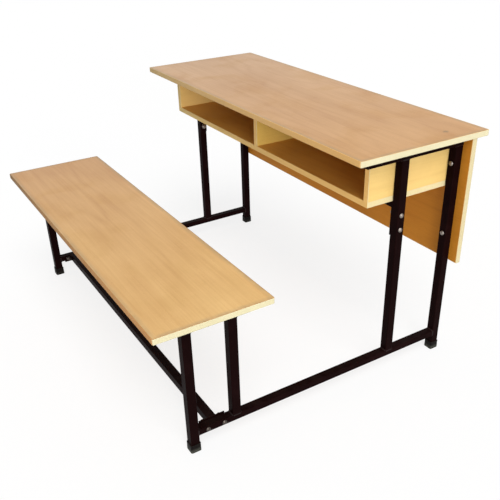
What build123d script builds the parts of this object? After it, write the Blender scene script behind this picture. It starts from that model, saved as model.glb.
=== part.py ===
from build123d import *
import math
import os

# A school bench for two. A desk board with a book shelf and a front panel, and a seat
# board, stand on two welded side frames of square steel tube. A stretcher and a cross
# tube under the shelf tie the two frames together.
# Millimetres, +Z up. X runs along the boards, towards the sitters' right hand. Y runs
# from the seat towards the front panel. The origin is on the floor, in the middle.

# Boards and their edge bands
board_length = 1220
board_thickness = 16
board_corner_radius = 5
band_thickness = 2
band_edge_radius = 1.2
desk_height = 698
desk_depth = 435
seat_height = 408
seat_depth = 322
seat_to_desk_gap = 243

# Square tube of the side frames and the stretcher. The floor rails are as wide, but lower.
tube_size = 25
tube_wall = 1.5
tube_corner_radius = 2
end_overhang = 33
floor_rail_height = 19
floor_rail_clearance = 49

# Where the legs and the rails stand along Y
seat_leg_inset = 84
seat_leg_pitch = 125
seat_rail_length = 221
desk_leg_inset = 165
desk_leg_pitch = 190
desk_rail_inset = 54

# Book shelf under the desk board
shelf_inset = 80
shelf_height = 144
shelf_side_gap = 2

# Front panel
panel_drop = 371
panel_end_inset = 3

# Cross tube and the end plates of the tubes that run across
cross_tube_size = 20
plate_thickness = 3
stretcher_plate_length = 75
cross_plate_height = 98

# Bolts, nuts and washers
bolt_diameter = 8
bolt_head_diameter = 14
bolt_head_height = 5
bolt_head_rim = 1.2
bolt_thread_end = 3
bolt_hole_clearance = 0.25
nut_across_flats = 13
nut_height = 6.5
nut_clearance = 0.1
washer_diameter = 16
washer_thickness = 1.6
stretcher_bolt_pitch = 48
cross_bolt_drop = 35
cross_bolt_pitch = 42
panel_bolt_drop = 75
panel_bolt_pitch = 208

# Screws and dowels
screw_diameter = 4.5
screw_head_diameter = 9
screw_head_height = 2.6
screw_bite = 13
shelf_screw_length = 35
screw_clearance = 0.1
dowel_diameter = 8
dowel_length = 30
dowel_clearance = 0.1

# Foot caps
foot_height = 25
foot_wall = 2.3
foot_base = 3
foot_edge_radius = 1.5
foot_clearance = 0.1

# Plugs in the open ends of the rails
plug_flange = 2.5
plug_edge_radius = 1
plug_depth = 14
plug_wall = 1.5
plug_rib_height = 1
plug_rib_width = 1.5
plug_clearance = 0.15

# Weld beads
weld_leg = 3
weld_crown = 0.7

# Shares of the sizes they follow
least_inner_radius_share = 0.3
weld_bulge_share = 0.62
dowel_in_desk_share = 0.4
desk_screw_shares = (0.25, 0.75)
cross_screw_shares = (-0.68, 0.0, 0.68)
upright_screw_shares = (0.16, 0.84)
panel_screw_shares = (-0.75, -0.3, 0.3, 0.75)
plug_rib_shares = (0.3, 0.7)
overrun_share = 0.1

# Levels
floor_rail_top = floor_rail_clearance + floor_rail_height
floor_rail_level = floor_rail_clearance + floor_rail_height / 2
seat_underside = seat_height - board_thickness
seat_leg_top = seat_underside - tube_size
seat_rail_level = seat_underside - tube_size / 2
desk_underside = desk_height - board_thickness
desk_leg_top = desk_underside - tube_size
desk_rail_level = desk_underside - tube_size / 2
shelf_underside = desk_underside - shelf_height
shelf_floor = shelf_underside + board_thickness
shelf_board_level = shelf_underside + board_thickness / 2
upright_level = (shelf_floor + desk_underside) / 2
panel_bottom = desk_underside - panel_drop
cross_tube_bottom = shelf_underside - cross_tube_size
cross_tube_level = shelf_underside - cross_tube_size / 2

# Places along Y
overall_depth = seat_depth + seat_to_desk_gap + desk_depth
seat_rear = -overall_depth / 2
desk_near = seat_rear + seat_depth + seat_to_desk_gap
bench_rear_leg_y = seat_rear + seat_leg_inset + tube_size / 2
bench_front_leg_y = bench_rear_leg_y + seat_leg_pitch
stretcher_y = (bench_rear_leg_y + bench_front_leg_y) / 2
seat_rail_start = stretcher_y - seat_rail_length / 2
seat_rail_end = stretcher_y + seat_rail_length / 2
desk_inner_leg_y = desk_near + desk_leg_inset + tube_size / 2
desk_outer_leg_y = desk_inner_leg_y + desk_leg_pitch
desk_rail_start = desk_near + desk_rail_inset
panel_near = desk_outer_leg_y + tube_size / 2
panel_far = panel_near + board_thickness
shelf_mouth = desk_near + shelf_inset
shelf_board_near = shelf_mouth + band_thickness
shelf_depth = panel_near - shelf_mouth

# Places along X, on the right-hand side
frame_outer = board_length / 2 - end_overhang
frame_middle = frame_outer - tube_size / 2
frame_inner = frame_outer - tube_size
shelf_end = frame_inner - shelf_side_gap
plate_face = frame_inner - plate_thickness
panel_end = board_length / 2 - panel_end_inset

# Sizes of holes and of what they hold
overrun = tube_size * overrun_share
bolt_hole_radius = bolt_diameter / 2 + bolt_hole_clearance
screw_hole_radius = screw_diameter / 2 + screw_clearance
screw_hole_depth = screw_bite + screw_clearance
upright_hole_depth = shelf_screw_length - board_thickness + screw_clearance
dowel_hole_radius = dowel_diameter / 2 + dowel_clearance
dowel_in_desk = dowel_length * dowel_in_desk_share
dowel_in_upright = dowel_length - dowel_in_desk
frame_grip = tube_size + plate_thickness
panel_grip = tube_size + board_thickness

# Places of the fasteners
stretcher_bolts_y = [stretcher_y + way * stretcher_bolt_pitch / 2 for way in (-1, 1)]
cross_bolts_z = [shelf_underside - cross_bolt_drop - n * cross_bolt_pitch for n in range(2)]
panel_bolts_z = [desk_underside - panel_bolt_drop - n * panel_bolt_pitch for n in range(2)]
seat_screws_y = [
    (seat_rail_start + bench_rear_leg_y - tube_size / 2) / 2,
    stretcher_y,
    (seat_rail_end + bench_front_leg_y + tube_size / 2) / 2,
]
desk_screws_y = [(desk_rail_start + desk_inner_leg_y - tube_size / 2) / 2] + [
    desk_inner_leg_y + share * desk_leg_pitch for share in desk_screw_shares
]
uprights_x = [way * (shelf_end - board_thickness / 2) for way in (-1, 0, 1)]
uprights_y = [shelf_mouth + share * shelf_depth for share in upright_screw_shares]
cross_screws_x = [share * shelf_end for share in cross_screw_shares]
panel_screws_x = [share * shelf_end for share in panel_screw_shares]


# Shapes that several pieces share


def inner_radius(radius, wall):
    """Inside corner radius of a wall that follows an outside radius."""
    return max(radius - wall, radius * least_inner_radius_share)


def tube_section(width, height):
    radius = inner_radius(tube_corner_radius, tube_wall)
    hollow = RectangleRounded(width - 2 * tube_wall, height - 2 * tube_wall, radius)
    return RectangleRounded(width, height, tube_corner_radius) - hollow


def tube_along_z(x, y, low, high):
    section = tube_section(tube_size, tube_size)
    return extrude(Plane(origin=(x, y, low)) * section, high - low)


def tube_along_y(x, z, low, high, height=tube_size):
    start = Plane(origin=(x, low, z), x_dir=(1, 0, 0), z_dir=(0, 1, 0))
    return extrude(start * tube_section(tube_size, height), high - low)


def tube_between_plates(y, z, size):
    """Tube that runs from one side frame's end plate to the other's."""
    start = Plane(origin=(-plate_face, y, z), x_dir=(0, 1, 0), z_dir=(1, 0, 0))
    return extrude(start * tube_section(size, size), 2 * plate_face)


def rod(radius, start, direction, length):
    """Round bar from a point along a direction: a hole or a shank."""
    return extrude(Plane(origin=start, z_dir=direction) * Circle(radius), length)


def taper(first_radius, last_radius, start, direction, length):
    """Round bar that changes its radius along the way."""
    base = Plane(origin=start, z_dir=direction)
    return loft([base * Circle(first_radius), base.offset(length) * Circle(last_radius)])


def block(low, high):
    """Box between two corners."""
    size = [high[n] - low[n] for n in range(3)]
    middle = [(high[n] + low[n]) / 2 for n in range(3)]
    return Pos(*middle) * Box(*size)


def other_side(piece):
    """The same piece on the left-hand side."""
    return mirror(piece, about=Plane.YZ)


def both_sides(pieces):
    return pieces + [other_side(piece) for piece in pieces]


def group(pieces):
    """Separate solids that share one node."""
    return Compound(children=[solid for piece in pieces for solid in piece.solids()])


# Desk board and seat board


def board_blank(near, depth, top, inset):
    """Board with rounded corners, drawn in all round by an inset."""
    radius = inner_radius(board_corner_radius, inset)
    plan = RectangleRounded(board_length - 2 * inset, depth - 2 * inset, radius)
    underside = Plane(origin=(0, near + depth / 2, top - board_thickness))
    return extrude(underside * plan, board_thickness)


def board_band(near, depth, top):
    """Strip round a board's edge, with its outer corners eased."""
    whole = board_blank(near, depth, top, 0)
    rims = whole.edges().filter_by(Plane.XY)
    return fillet(rims, band_edge_radius) - board_blank(near, depth, top, band_thickness)


def rail_screw_holes(ys, start, depth):
    """Holes on the middle lines of both side frames, from a level upwards."""
    places = [(x, y, start) for x in (-frame_middle, frame_middle) for y in ys]
    return [rod(screw_hole_radius, place, (0, 0, 1), depth) for place in places]


def desk_board():
    board = board_blank(desk_near, desk_depth, desk_height, band_thickness)
    board -= rail_screw_holes(desk_screws_y, desk_underside, screw_hole_depth)
    depth = dowel_in_desk + dowel_clearance
    for x, y in upright_grid():
        board -= rod(dowel_hole_radius, (x, y, desk_underside), (0, 0, 1), depth)
    return board


def seat_board():
    board = board_blank(seat_rear, seat_depth, seat_height, band_thickness)
    return board - rail_screw_holes(seat_screws_y, seat_underside, screw_hole_depth)


# Book shelf


def upright_grid():
    """Places of the screws below and the dowels above the shelf's uprights."""
    return [(x, y) for x in uprights_x for y in uprights_y]


def sunk_hole(start, inwards, length):
    """Hole for a screw whose head lies flush with the face where it starts."""
    flare = screw_head_diameter / 2 + screw_clearance
    sink = taper(flare, screw_hole_radius, start, inwards, screw_head_height)
    return sink + rod(screw_hole_radius, start, inwards, length)


def shelf_bottom_board():
    reach = shelf_end - band_thickness
    board = block((-reach, shelf_board_near, shelf_underside), (reach, panel_near, shelf_floor))
    for x, y in upright_grid():
        board -= sunk_hole((x, y, shelf_underside), (0, 0, 1), board_thickness + overrun)
    for x in cross_screws_x:
        start = (x, desk_inner_leg_y, shelf_underside)
        board -= rod(screw_hole_radius, start, (0, 0, 1), screw_hole_depth)
    for x in panel_screws_x:
        start = (x, panel_near, shelf_board_level)
        board -= rod(screw_hole_radius, start, (0, -1, 0), upright_hole_depth)
    return board


def shelf_upright(middle):
    """An end board or the divider, standing on the shelf's bottom board."""
    half = board_thickness / 2
    low = (middle - half, shelf_board_near, shelf_floor)
    board = block(low, (middle + half, panel_near, desk_underside))
    board -= rod(screw_hole_radius, (middle, panel_near, upright_level), (0, -1, 0), upright_hole_depth)
    for y in uprights_y:
        board -= rod(screw_hole_radius, (middle, y, shelf_floor), (0, 0, 1), upright_hole_depth)
        depth = dowel_in_upright + dowel_clearance
        board -= rod(dowel_hole_radius, (middle, y, desk_underside), (0, 0, -1), depth)
    return board


def shelf_edge_bands():
    """Strips on the bottom board's front and ends, and on the fronts of the uprights."""
    reach = shelf_end - band_thickness
    half = board_thickness / 2
    low = (-shelf_end, shelf_mouth, shelf_underside)
    strips = [block(low, (shelf_end, shelf_board_near, shelf_floor))]
    low = (reach, shelf_board_near, shelf_underside)
    strips += both_sides([block(low, (shelf_end, panel_near, shelf_floor))])
    for x in uprights_x:
        low = (x - half, shelf_mouth, shelf_floor)
        strips.append(block(low, (x + half, shelf_board_near, desk_underside)))
    return group(strips)


# Front panel


def panel_blank(inset):
    reach = panel_end - inset
    low = (-reach, panel_near, panel_bottom + inset)
    return block(low, (reach, panel_far, desk_underside - inset))


def panel_screw_places():
    """Heads of the screws that go through the panel into the rear edges of the shelf."""
    low_row = [(x, panel_far, shelf_board_level) for x in panel_screws_x]
    return low_row + [(x, panel_far, upright_level) for x in uprights_x]


def panel_bolt_points():
    """Middles of the bolts over both outer desk legs, as (x, z)."""
    return [(x, z) for x in (-frame_middle, frame_middle) for z in panel_bolts_z]


def front_panel():
    panel = panel_blank(band_thickness)
    for x, z in panel_bolt_points():
        start = (x, panel_near - overrun, z)
        panel -= rod(bolt_hole_radius, start, (0, 1, 0), board_thickness + 2 * overrun)
    for place in panel_screw_places():
        panel -= sunk_hole(place, (0, -1, 0), board_thickness + overrun)
    return panel


def front_panel_band():
    rims = panel_blank(0).edges().filter_by(Plane.XZ)
    return fillet(rims, band_edge_radius) - panel_blank(band_thickness)


# Tubes of the right-hand side frame


def bolt_hole_through_x(y, z):
    """Hole through a frame tube and the end plate behind it."""
    start = (plate_face - overrun, y, z)
    return rod(bolt_hole_radius, start, (1, 0, 0), frame_grip + 2 * overrun)


def floor_rail():
    start = bench_rear_leg_y + tube_size / 2
    end = desk_outer_leg_y - tube_size / 2
    rail = tube_along_y(frame_middle, floor_rail_level, start, end, floor_rail_height)
    return rail - [bolt_hole_through_x(y, floor_rail_level) for y in stretcher_bolts_y]


def bench_rear_leg():
    return tube_along_z(frame_middle, bench_rear_leg_y, foot_base, seat_leg_top)


def bench_front_leg():
    return tube_along_z(frame_middle, bench_front_leg_y, floor_rail_top, seat_leg_top)


def desk_inner_leg():
    leg = tube_along_z(frame_middle, desk_inner_leg_y, floor_rail_top, desk_leg_top)
    return leg - [bolt_hole_through_x(desk_inner_leg_y, z) for z in cross_bolts_z]


def desk_outer_leg():
    leg = tube_along_z(frame_middle, desk_outer_leg_y, foot_base, desk_leg_top)
    start = desk_outer_leg_y - tube_size / 2 - overrun
    for z in panel_bolts_z:
        place = (frame_middle, start, z)
        leg -= rod(bolt_hole_radius, place, (0, 1, 0), tube_size + 2 * overrun)
    return leg


def seat_rail():
    rail = tube_along_y(frame_middle, seat_rail_level, seat_rail_start, seat_rail_end)
    return rail - rail_screw_holes(seat_screws_y, seat_leg_top - overrun, tube_size + 2 * overrun)


def desk_rail():
    rail = tube_along_y(frame_middle, desk_rail_level, desk_rail_start, panel_near)
    return rail - rail_screw_holes(desk_screws_y, desk_leg_top - overrun, tube_size + 2 * overrun)


# Weld beads


def corner_bead(place, length):
    """Bead in the corner between two faces at right angles. The corner runs along the
    place's X, and the faces lie along its Y and its Z."""
    bulge = weld_leg * weld_bulge_share
    section = make_face([
        Line((0, 0), (weld_leg, 0)),
        ThreePointArc((weld_leg, 0), (bulge, bulge), (0, weld_leg)),
        Line((0, weld_leg), (0, 0)),
    ])
    start = Plane(origin=(-length / 2, 0, 0), x_dir=(0, 1, 0), z_dir=(1, 0, 0))
    return place * extrude(start * section, length)


def flush_bead(place, length):
    """Bead that fills the groove between a tube's square end and the rounded corner of
    the tube it stands on, where their sides are flush. It is crowned a little proud of
    the sides. The groove runs along the place's Y, and the flush sides face along X."""
    radius = tube_corner_radius
    groove = radius * (1 - math.sqrt(0.5))
    section = make_face([
        Line((-radius, 0), (0, 0)),
        ThreePointArc((0, 0), (weld_crown, -radius / 2), (0, -radius)),
        ThreePointArc((0, -radius), (-groove, -groove), (-radius, 0)),
    ])
    start = Plane(origin=(0, length / 2, 0), x_dir=(1, 0, 0), z_dir=(0, -1, 0))
    return place * extrude(start * section, length)


def tube_joint(origin, outwards, along, corners=(-1, 1), extent=tube_size):
    """Beads round a tube that stands on another tube. outwards is the normal of the
    face it stands on, along is the way the other tube runs, and extent is the standing
    tube's own size that way. corners says on which sides along the other tube there is
    a corner to fill."""
    across = Vector(*along).cross(Vector(*outwards))
    place = Plane(origin=origin, x_dir=across, z_dir=outwards).location
    beads = []
    for way in corners:
        side = Pos(0, way * extent / 2, 0) * Rot(0, 0, 90 - way * 90)
        beads.append(corner_bead(place * side, tube_size - 2 * tube_corner_radius))
    for way in (-1, 1):
        side = Pos(way * tube_size / 2, 0, 0) * Rot(0, 0, 90 - way * 90)
        beads.append(flush_bead(place * side, extent - 2 * tube_corner_radius))
    return beads


def floor_rail_joint(y, way):
    """Beads round an end of the floor rail, on the leg whose face it meets."""
    origin = (frame_middle, y, floor_rail_level)
    return tube_joint(origin, (0, way, 0), (0, 0, 1), extent=floor_rail_height)


def frame_welds():
    """All the beads of the right-hand side frame."""
    up, down, forwards = (0, 0, 1), (0, 0, -1), (0, 1, 0)
    beads = floor_rail_joint(bench_rear_leg_y + tube_size / 2, 1)
    beads += floor_rail_joint(desk_outer_leg_y - tube_size / 2, -1)
    for y in (bench_front_leg_y, desk_inner_leg_y):
        beads += tube_joint((frame_middle, y, floor_rail_top), up, forwards)
    for y in (bench_rear_leg_y, bench_front_leg_y):
        beads += tube_joint((frame_middle, y, seat_leg_top), down, forwards)
    beads += tube_joint((frame_middle, desk_inner_leg_y, desk_leg_top), down, forwards)
    beads += tube_joint((frame_middle, desk_outer_leg_y, desk_leg_top), down, forwards, (-1,))
    return group(beads)


def plate_welds():
    """Beads between the ends of the two tubes that run across and their end plates."""
    beads = []
    for way in (-1, 1):
        origin = (plate_face, stretcher_y + way * tube_size / 2, floor_rail_level)
        face = Plane(origin=origin, x_dir=(0, 0, way), z_dir=(-1, 0, 0))
        beads.append(corner_bead(face.location, tube_size - 2 * tube_corner_radius))
    origin = (plate_face, desk_inner_leg_y, cross_tube_bottom)
    face = Plane(origin=origin, x_dir=(0, 1, 0), z_dir=(-1, 0, 0))
    beads.append(corner_bead(face.location, cross_tube_size - 2 * tube_corner_radius))
    return group(both_sides(beads))


# Stretcher, cross tube and end plates


def stretcher_plate():
    """End plate as high as the stretcher, so it stands a little above and below the rail."""
    reach = stretcher_plate_length / 2
    rise = tube_size / 2
    low = (plate_face, stretcher_y - reach, floor_rail_level - rise)
    plate = block(low, (frame_inner, stretcher_y + reach, floor_rail_level + rise))
    return plate - [bolt_hole_through_x(y, floor_rail_level) for y in stretcher_bolts_y]


def shelf_cross_tube():
    tube = tube_between_plates(desk_inner_leg_y, cross_tube_level, cross_tube_size)
    for x in cross_screws_x:
        start = (x, desk_inner_leg_y, cross_tube_bottom - overrun)
        tube -= rod(screw_hole_radius, start, (0, 0, 1), cross_tube_size + 2 * overrun)
    return tube


def shelf_cross_plate():
    reach = tube_size / 2
    low = (plate_face, desk_inner_leg_y - reach, shelf_underside - cross_plate_height)
    plate = block(low, (frame_inner, desk_inner_leg_y + reach, shelf_underside))
    return plate - [bolt_hole_through_x(desk_inner_leg_y, z) for z in cross_bolts_z]


# Foot caps and end plugs


def foot_cap(y):
    """Cap over a leg's lower end, rounded where it meets the floor."""
    pocket = tube_size + 2 * foot_clearance
    size = pocket + 2 * foot_wall
    floor = Plane(origin=(frame_middle, y, 0))
    body = extrude(floor * RectangleRounded(size, size, tube_corner_radius + foot_wall), foot_height)
    body = fillet(body.edges().group_by(Axis.Z)[0], foot_edge_radius)
    hollow = RectangleRounded(pocket, pocket, tube_corner_radius + foot_clearance)
    return body - extrude(floor.offset(foot_base) * hollow, foot_height)


def end_plug(place):
    """Plug for a rail's open end: an eased flange, and a hollow stem with two ribs that
    grip the bore. The place's Z points out of the tube."""
    flange = extrude(RectangleRounded(tube_size, tube_size, tube_corner_radius), plug_flange)
    flange = fillet(flange.edges().group_by(Axis.Z)[-1], plug_edge_radius)
    grip = tube_size - 2 * tube_wall - 2 * plug_clearance
    stem = grip - 2 * plug_rib_height
    hollow = stem - 2 * plug_wall
    radius = inner_radius(tube_corner_radius, tube_wall)
    inwards = Plane(origin=(0, 0, 0), z_dir=(0, 0, -1))
    plug = flange + extrude(inwards * Rectangle(stem, stem), plug_depth)
    for share in plug_rib_shares:
        rib = inwards.offset(plug_depth * share) * RectangleRounded(grip, grip, radius)
        plug += extrude(rib, plug_rib_width)
    return place * (plug - extrude(inwards * Rectangle(hollow, hollow), plug_depth))


def rail_end_plugs():
    """Plugs in both ends of the seat rails and in the near ends of the desk rails."""
    ends = [
        (seat_rail_start, seat_rail_level, -1),
        (seat_rail_end, seat_rail_level, 1),
        (desk_rail_start, desk_rail_level, -1),
    ]
    plugs = []
    for y, z, way in ends:
        face = Plane(origin=(frame_middle, y, z), x_dir=(1, 0, 0), z_dir=(0, way, 0))
        plugs.append(end_plug(face.location))
    return group(both_sides(plugs))


# Bolts, washers and nuts


def bolt(place, grip):
    """Domed bolt. The place is the seat of its head, with Z pointing out of the head."""
    shank_radius = bolt_diameter / 2
    head_radius = bolt_head_diameter / 2
    tip = -(grip + washer_thickness + nut_height + bolt_thread_end)
    rise = bolt_head_height - bolt_head_rim
    dome_radius = (head_radius ** 2 + rise ** 2) / (2 * rise)
    half_angle = math.asin(head_radius / dome_radius) / 2
    dome_x = dome_radius * math.sin(half_angle)
    dome_z = bolt_head_height - dome_radius * (1 - math.cos(half_angle))
    profile = make_face([
        Line((0, tip), (shank_radius, tip)),
        Line((shank_radius, tip), (shank_radius, 0)),
        Line((shank_radius, 0), (head_radius, 0)),
        Line((head_radius, 0), (head_radius, bolt_head_rim)),
        ThreePointArc((head_radius, bolt_head_rim), (dome_x, dome_z), (0, bolt_head_height)),
        Line((0, bolt_head_height), (0, tip)),
    ])
    return place * revolve(Plane.XZ * profile, Axis.Z)


def washer(place):
    ring = Circle(washer_diameter / 2) - Circle(bolt_hole_radius)
    return place * extrude(ring, washer_thickness)


def nut(place):
    corner_radius = nut_across_flats / 2 / math.cos(math.pi / 6)
    bore = Circle(bolt_diameter / 2 + nut_clearance)
    return place * extrude(RegularPolygon(corner_radius, 6) - bore, nut_height)


def bolt_set(name, places, grip):
    """Bolts with their washers and nuts, one of each for every place."""
    far_side = [place * Pos(0, 0, -grip - washer_thickness) for place in places]
    return {
        name + "_bolts": group([bolt(place, grip) for place in places]),
        name + "_washers": group([washer(place) for place in far_side]),
        name + "_nuts": group([nut(place * Pos(0, 0, -nut_height)) for place in far_side]),
    }


def places_on_frames(points):
    """Seats for bolt heads on the outer faces of both frames, at (y, z) points."""
    planes = [
        Plane(origin=(way * frame_outer, y, z), x_dir=(0, way, 0), z_dir=(way, 0, 0))
        for way in (1, -1)
        for y, z in points
    ]
    return [plane.location for plane in planes]


def places_on_outer_legs():
    """Seats for bolt heads on the sitters' side of both outer desk legs."""
    leg_face = desk_outer_leg_y - tube_size / 2
    planes = [
        Plane(origin=(x, leg_face, z), x_dir=(1, 0, 0), z_dir=(0, -1, 0))
        for x, z in panel_bolt_points()
    ]
    return [plane.location for plane in planes]


# Screws and dowels


def raised_screw(x, y, seat, length):
    """Screw that goes up from a tube's underside, with its head below it."""
    thread_radius = screw_diameter / 2
    head_radius = screw_head_diameter / 2
    head = taper(head_radius, thread_radius, (x, y, seat), (0, 0, -1), screw_head_height)
    return head + rod(thread_radius, (x, y, seat), (0, 0, 1), length)


def sunk_screw(start, inwards):
    """Screw whose head lies flush with the face where it starts."""
    thread_radius = screw_diameter / 2
    head = taper(screw_head_diameter / 2, thread_radius, start, inwards, screw_head_height)
    return head + rod(thread_radius, start, inwards, shelf_screw_length)


def rail_screws(ys, seat):
    screws = [raised_screw(frame_middle, y, seat, tube_size + screw_bite) for y in ys]
    return group(both_sides(screws))


def shelf_cross_screws():
    length = cross_tube_size + screw_bite
    places = [(x, desk_inner_leg_y, cross_tube_bottom) for x in cross_screws_x]
    return group([raised_screw(*place, length) for place in places])


def shelf_screws():
    return group([sunk_screw((x, y, shelf_underside), (0, 0, 1)) for x, y in upright_grid()])


def front_panel_screws():
    return group([sunk_screw(place, (0, -1, 0)) for place in panel_screw_places()])


def shelf_dowels():
    radius = dowel_diameter / 2
    places = [(x, y, desk_underside - dowel_in_upright) for x, y in upright_grid()]
    return group([rod(radius, place, (0, 0, 1), dowel_length) for place in places])


# The whole bench


def left_and_right(name, piece):
    return {name + "_left": other_side(piece), name + "_right": piece}


def bench():
    parts = {
        "desk_board": desk_board(),
        "desk_board_edge_band": board_band(desk_near, desk_depth, desk_height),
        "seat_board": seat_board(),
        "seat_board_edge_band": board_band(seat_rear, seat_depth, seat_height),
        "shelf_bottom_board": shelf_bottom_board(),
        "shelf_divider": shelf_upright(uprights_x[1]),
        "shelf_edge_bands": shelf_edge_bands(),
        "front_panel": front_panel(),
        "front_panel_edge_band": front_panel_band(),
        "stretcher_tube": tube_between_plates(stretcher_y, floor_rail_level, tube_size),
        "shelf_cross_tube": shelf_cross_tube(),
        "plate_welds": plate_welds(),
        "rail_end_plugs": rail_end_plugs(),
        "desk_board_screws": rail_screws(desk_screws_y, desk_leg_top),
        "seat_board_screws": rail_screws(seat_screws_y, seat_leg_top),
        "shelf_cross_screws": shelf_cross_screws(),
        "shelf_screws": shelf_screws(),
        "front_panel_screws": front_panel_screws(),
        "shelf_dowels": shelf_dowels(),
    }
    parts |= left_and_right("shelf_end_board", shelf_upright(uprights_x[-1]))
    parts |= left_and_right("floor_rail", floor_rail())
    parts |= left_and_right("bench_rear_leg", bench_rear_leg())
    parts |= left_and_right("bench_front_leg", bench_front_leg())
    parts |= left_and_right("desk_inner_leg", desk_inner_leg())
    parts |= left_and_right("desk_outer_leg", desk_outer_leg())
    parts |= left_and_right("seat_rail", seat_rail())
    parts |= left_and_right("desk_rail", desk_rail())
    parts |= left_and_right("frame_welds", frame_welds())
    parts |= left_and_right("stretcher_plate", stretcher_plate())
    parts |= left_and_right("shelf_cross_plate", shelf_cross_plate())
    parts |= left_and_right("foot_cap_bench", foot_cap(bench_rear_leg_y))
    parts |= left_and_right("foot_cap_desk", foot_cap(desk_outer_leg_y))
    stretcher_points = [(y, floor_rail_level) for y in stretcher_bolts_y]
    cross_points = [(desk_inner_leg_y, z) for z in cross_bolts_z]
    parts |= bolt_set("stretcher", places_on_frames(stretcher_points), frame_grip)
    parts |= bolt_set("shelf_cross", places_on_frames(cross_points), frame_grip)
    parts |= bolt_set("front_panel", places_on_outer_legs(), panel_grip)
    return parts


os.makedirs("parts", exist_ok=True)
for node, shape in bench().items():
    export_step(shape, "parts/" + node + ".step")
    print(node, len(shape.solids()), round(sum(solid.volume for solid in shape.solids())))
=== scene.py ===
# %% [markdown]
# A school bench for two, dressed for its portrait.
# The solid model of the bench is already drawn, each piece in its true place. This script
# loads it, leaves its measurements alone, and adds what a solid modeller leaves plain:
# printed wood figure, powder coat, rippled weld beads, threads, cross recesses and moulded
# feet. Everything is in metres, with the floor at Z = 0, X along the boards and Y from the
# seat towards the front panel.

# %% Load the model
import math
import random

import bmesh
import bpy
from mathutils import Matrix, Vector


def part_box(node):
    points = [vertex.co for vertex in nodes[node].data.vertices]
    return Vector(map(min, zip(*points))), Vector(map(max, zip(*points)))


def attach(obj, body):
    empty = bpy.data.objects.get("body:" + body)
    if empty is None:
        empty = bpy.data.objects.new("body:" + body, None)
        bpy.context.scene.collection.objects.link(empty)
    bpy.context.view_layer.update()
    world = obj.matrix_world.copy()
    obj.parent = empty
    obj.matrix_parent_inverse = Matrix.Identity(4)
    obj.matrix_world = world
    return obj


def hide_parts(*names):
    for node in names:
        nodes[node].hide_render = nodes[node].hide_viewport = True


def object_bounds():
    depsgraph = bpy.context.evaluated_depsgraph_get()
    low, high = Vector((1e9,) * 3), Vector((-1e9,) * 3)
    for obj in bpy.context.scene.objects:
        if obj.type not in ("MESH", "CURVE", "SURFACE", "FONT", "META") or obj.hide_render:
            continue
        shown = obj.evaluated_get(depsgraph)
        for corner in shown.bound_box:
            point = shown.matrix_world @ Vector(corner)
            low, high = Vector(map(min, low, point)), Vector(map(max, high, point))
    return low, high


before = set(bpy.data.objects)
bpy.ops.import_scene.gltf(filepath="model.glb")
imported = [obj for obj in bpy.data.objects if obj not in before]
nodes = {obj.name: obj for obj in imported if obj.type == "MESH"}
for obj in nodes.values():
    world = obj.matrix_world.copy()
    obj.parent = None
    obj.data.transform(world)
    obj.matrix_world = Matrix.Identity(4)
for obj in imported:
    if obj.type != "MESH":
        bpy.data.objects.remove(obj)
cad_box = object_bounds()
mm = 0.001
quarter = math.pi / 2
print(len(nodes), "pieces in the solid model")

# %% [markdown]
# The camera. The photograph was taken from the right-hand end of the bench, about two metres
# away. Its place was worked out from the edges of the boards: lines that are parallel on the
# bench lean together in the picture, and how fast they do so gives the distance and the
# lens. A camera in Blender looks along its own -Z with +Y up, so the three directions of the
# view make the columns of its matrix.

# %% Camera
scene = bpy.context.scene
photo_size = 500
sensor_width = 36
camera_place = Vector((1.777113, -0.928658, 1.255191))
camera_turn, camera_tilt, camera_roll = (math.radians(a) for a in (58.54, -30.314, -1.18))
focal_pixels = 676.607
centre_pixel = (262, 285)


def add_object(name, data, place=Matrix()):
    """New object in the scene."""
    made = bpy.data.objects.new(name, data)
    made.matrix_world = place
    scene.collection.objects.link(made)
    return made


def place_facing(point, *ways):
    """Place at a point, whose X, Y and Z look three ways."""
    return Matrix.Translation(point) @ Matrix(ways).transposed().to_4x4()


ahead = Vector((-math.sin(camera_turn) * math.cos(camera_tilt),
                math.cos(camera_turn) * math.cos(camera_tilt), math.sin(camera_tilt)))
level_right = Vector((math.cos(camera_turn), math.sin(camera_turn), 0))
level_up = level_right.cross(ahead)
view_right = math.cos(camera_roll) * level_right + math.sin(camera_roll) * level_up
view_up = math.cos(camera_roll) * level_up - math.sin(camera_roll) * level_right

lens = bpy.data.cameras.new("photo_camera")
lens.sensor_width = sensor_width
lens.lens = sensor_width * focal_pixels / photo_size
lens.shift_x = (photo_size / 2 - centre_pixel[0]) / photo_size
lens.shift_y = (centre_pixel[1] - photo_size / 2) / photo_size
view = place_facing(camera_place, view_right, view_up, -ahead)
scene.camera = add_object("photo_camera", lens, view)
scene.view_settings.view_transform = "Standard"
print("lens", round(lens.lens, 2), "mm, shift", round(lens.shift_x, 3), round(lens.shift_y, 3))

# %% [markdown]
# Shader trees are built in code here, and a small class keeps that readable. It holds one
# tree. Each of its methods adds a node and hands back what comes out of it: a sum, a mix
# of two colours, a noise. An input is given either a plain value or another node's output.

# %% Shader trees
white = (1, 1, 1)


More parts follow.
